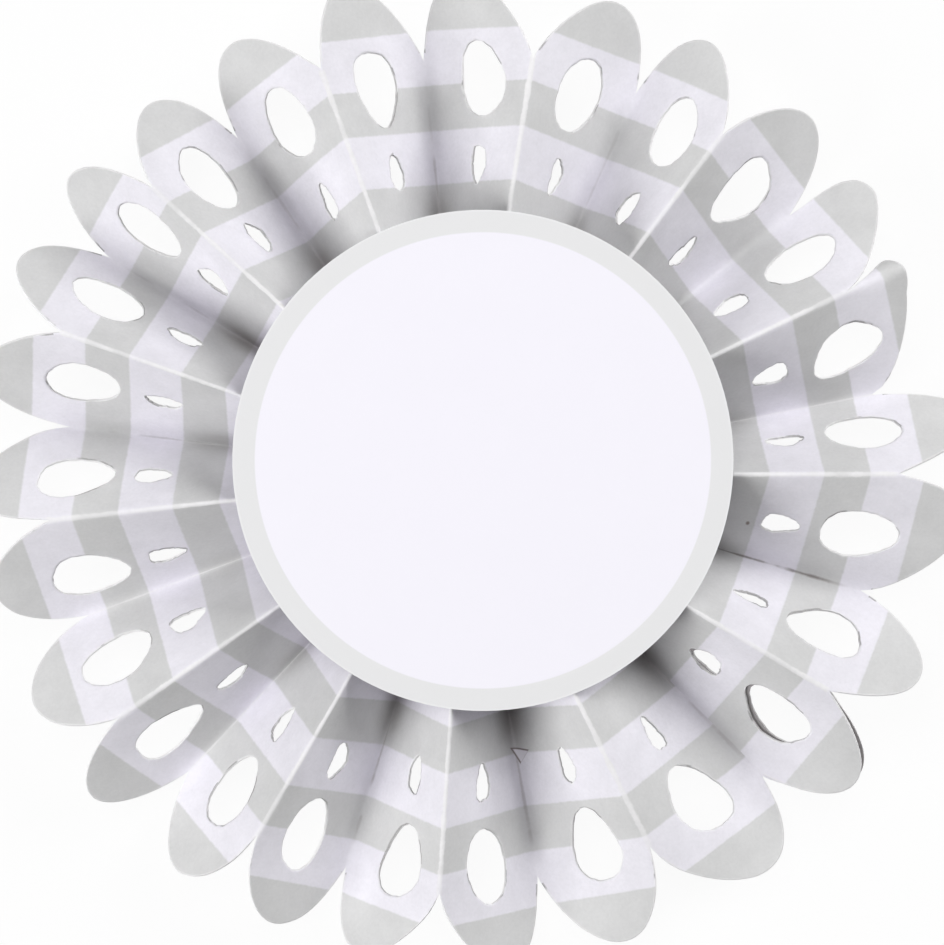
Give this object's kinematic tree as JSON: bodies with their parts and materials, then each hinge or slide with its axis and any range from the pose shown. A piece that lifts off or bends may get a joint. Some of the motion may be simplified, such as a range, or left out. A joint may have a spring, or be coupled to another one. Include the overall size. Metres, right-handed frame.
{
  "type": "paper fan medallion",
  "caption": "Round folded-card rosette with petal-ended pleats, oval cut-outs and striped print, gathered under a printed card circle, for hanging or table decoration.",
  "frame": {"origin": "point of the back face on the axis of the fan", "axes": "+Z out of the front disc along the fan's axis, +Y towards the top of the picture"},
  "size_m": [0.1516, 0.1519, 0.0217],
  "materials": {
    "striped_card": "matte",
    "disc_card": "matte",
    "plain_card": "matte"
  },
  "bodies": {
    "root": {"pleated_fan": "striped_card", "front_disc": "disc_card", "backing_disc": "plain_card"}
  },
  "joints": []
}
